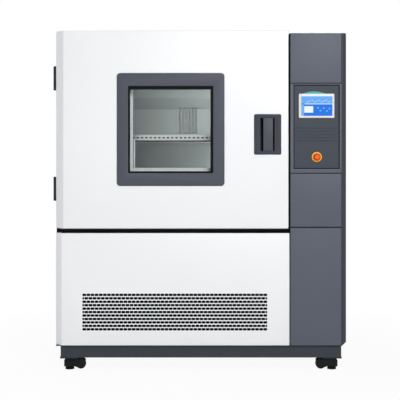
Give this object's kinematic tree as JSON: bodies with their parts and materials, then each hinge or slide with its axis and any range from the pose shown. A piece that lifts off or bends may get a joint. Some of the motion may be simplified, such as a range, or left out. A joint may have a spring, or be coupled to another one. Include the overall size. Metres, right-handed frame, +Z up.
{
  "type": "environmental test chamber",
  "caption": "Floor-standing climatic test chamber: insulated room behind a windowed hinged door, machine bay below, control column at the right, levelling casters.",
  "frame": {"origin": "centre of the footprint on the floor", "axes": "+Z up, -Y towards the door and control panel, +X to the right seen from the front"},
  "size_m": [1.459, 1.0793, 1.685],
  "materials": {
    "white_paint": "satin powder coat",
    "slate_paint": "satin powder coat",
    "plinth_paint": "satin powder coat",
    "black_paint": "matte",
    "stainless": "brushed",
    "frame_steel": "matte",
    "cast_housing": "painted black",
    "black_rubber": "matte",
    "grey_silicone": "matte",
    "foam": "rigid foam",
    "glass": "clear",
    "filter_foam": "open foam",
    "bezel_plastic": "fine texture",
    "yellow_plastic": "satin",
    "red_plastic": "satin",
    "black_plastic": "satin",
    "wheel_nylon": "satin",
    "aluminium": "mill",
    "motor_paint": "painted",
    "brass": "mill"
  },
  "bodies": {
    "cabinet": {"base_frame": "plinth_paint", "cabinet_frame": "frame_steel", "left_side_panel": "white_paint", "right_side_panel": "slate_paint", "top_panel": "white_paint", "rear_panel": "white_paint", "rear_grille": "black_paint", "lower_front_panel": "white_paint", "intake_filter": "filter_foam", "column_covers": "slate_paint", "column_partition": "slate_paint", "control_panel_frame": "slate_paint", "control_panel_plate": "black_plastic", "touch_screen": "bezel_plastic", "estop_collar": "yellow_plastic", "inner_liner": "stainless", "insulation": "foam", "front_trim": "stainless", "latch_keeper": "black_plastic", "hinge_cabinet_leaves": "black_paint", "duct_plate": "stainless", "shelf_rails": "stainless", "cable_port": "stainless", "fan_motor": "motor_paint", "heater": "stainless", "evaporator": "aluminium", "compressor": "motor_paint", "condenser": "wheel_nylon", "electrical_rack": "bezel_plastic", "rear_fittings": "brass"},
    "door": {"door_outer_skin": "white_paint", "door_inner_skin": "stainless", "door_core": "foam", "window_frame": "slate_paint", "window_seal": "black_rubber", "window_glass": "glass", "window_tunnel": "stainless", "door_gasket": "black_rubber", "handle_housing": "slate_paint", "hinge_door_leaves": "black_paint"},
    "paddle": {"handle_paddle": "slate_paint"},
    "tongue": {"latch_tongue": "stainless"},
    "button_stem": {"estop_stem": "black_plastic"},
    "button_head": {"estop_head": "red_plastic"},
    "blower": {"circulation_fan": "aluminium"},
    "cooler_fan": {"condenser_fan": "black_plastic"},
    "plug": {"port_plug": "grey_silicone"},
    "shelf_tray": {"shelf": "stainless"},
    "housing_front_left": {"caster_housing_front_left": "cast_housing"},
    "wheel_front_left": {"caster_wheel_front_left": "wheel_nylon"},
    "pad_front_left": {"caster_pad_front_left": "black_rubber"},
    "housing_front_right": {"caster_housing_front_right": "cast_housing"},
    "wheel_front_right": {"caster_wheel_front_right": "wheel_nylon"},
    "pad_front_right": {"caster_pad_front_right": "black_rubber"},
    "housing_rear_left": {"caster_housing_rear_left": "cast_housing"},
    "wheel_rear_left": {"caster_wheel_rear_left": "wheel_nylon"},
    "pad_rear_left": {"caster_pad_rear_left": "black_rubber"},
    "housing_rear_right": {"caster_housing_rear_right": "cast_housing"},
    "wheel_rear_right": {"caster_wheel_rear_right": "wheel_nylon"},
    "pad_rear_right": {"caster_pad_rear_right": "black_rubber"}
  },
  "joints": [
    {"name": "door_swing", "type": "hinge", "parent": "cabinet", "child": "door", "pos_m": [-0.731, -0.445, 1.1], "axis": [0, 0, -1], "range_deg": [0, 120]},
    {"name": "handle_pull", "type": "hinge", "parent": "door", "child": "paddle", "pos_m": [0.35, -0.524, 1.1725], "axis": [0, 0, 1], "range_deg": [0, 30], "stiffness_Nm_per_rad": 0.4},
    {"name": "latch_slide", "type": "slide", "parent": "door", "child": "tongue", "axis": [-1, 0, 0], "range_m": [0, 0.008]},
    {"name": "estop_push", "type": "slide", "parent": "cabinet", "child": "button_stem", "axis": [0, 1, 0], "range_m": [0, 0.004], "stiffness_N_per_m": 500},
    {"name": "estop_twist", "type": "hinge", "parent": "button_stem", "child": "button_head", "pos_m": [0.572, -0.53, 1.061], "axis": [0, -1, 0], "range_deg": [0, 40], "stiffness_Nm_per_rad": 0.05},
    {"name": "blower_spin", "type": "hinge", "parent": "cabinet", "child": "blower", "pos_m": [-0.144, 0.2, 1.282], "axis": [0, 1, 0], "continuous": true},
    {"name": "cooler_fan_spin", "type": "hinge", "parent": "cabinet", "child": "cooler_fan", "pos_m": [-0.24, -0.3, 0.329], "axis": [0, 1, 0], "continuous": true},
    {"name": "plug_pull", "type": "slide", "parent": "cabinet", "child": "plug", "axis": [-1, 0, 0], "range_m": [0, 0.07]},
    {"name": "shelf_slide", "type": "slide", "parent": "cabinet", "child": "shelf_tray", "axis": [0, -1, 0], "range_m": [0, 0.015]},
    {"name": "swivel_front_left", "type": "hinge", "parent": "cabinet", "child": "housing_front_left", "pos_m": [-0.656, -0.45, 0.06], "axis": [0, 0, 1], "continuous": true},
    {"name": "wheel_spin_front_left", "type": "hinge", "parent": "housing_front_left", "child": "wheel_front_left", "pos_m": [-0.6, -0.45, 0.027], "axis": [0, 1, 0], "continuous": true},
    {"name": "pad_lift_front_left", "type": "slide", "parent": "housing_front_left", "child": "pad_front_left", "axis": [0, 0, 1], "range_m": [-0.006, 0.008]},
    {"name": "swivel_front_right", "type": "hinge", "parent": "cabinet", "child": "housing_front_right", "pos_m": [0.656, -0.45, 0.06], "axis": [0, 0, 1], "continuous": true},
    {"name": "wheel_spin_front_right", "type": "hinge", "parent": "housing_front_right", "child": "wheel_front_right", "pos_m": [0.6, -0.45, 0.027], "axis": [0, 1, 0], "continuous": true},
    {"name": "pad_lift_front_right", "type": "slide", "parent": "housing_front_right", "child": "pad_front_right", "axis": [0, 0, 1], "range_m": [-0.006, 0.008]},
    {"name": "swivel_rear_left", "type": "hinge", "parent": "cabinet", "child": "housing_rear_left", "pos_m": [-0.656, 0.45, 0.06], "axis": [0, 0, 1], "continuous": true},
    {"name": "wheel_spin_rear_left", "type": "hinge", "parent": "housing_rear_left", "child": "wheel_rear_left", "pos_m": [-0.6, 0.45, 0.027], "axis": [0, 1, 0], "continuous": true},
    {"name": "pad_lift_rear_left", "type": "slide", "parent": "housing_rear_left", "child": "pad_rear_left", "axis": [0, 0, 1], "range_m": [-0.006, 0.008]},
    {"name": "swivel_rear_right", "type": "hinge", "parent": "cabinet", "child": "housing_rear_right", "pos_m": [0.656, 0.45, 0.06], "axis": [0, 0, 1], "continuous": true},
    {"name": "wheel_spin_rear_right", "type": "hinge", "parent": "housing_rear_right", "child": "wheel_rear_right", "pos_m": [0.6, 0.45, 0.027], "axis": [0, 1, 0], "continuous": true},
    {"name": "pad_lift_rear_right", "type": "slide", "parent": "housing_rear_right", "child": "pad_rear_right", "axis": [0, 0, 1], "range_m": [-0.006, 0.008]}
  ],
  "couplings": [
    {"joint": "latch_slide", "follows": "handle_pull", "m_per_rad": 0.014897}
  ]
}
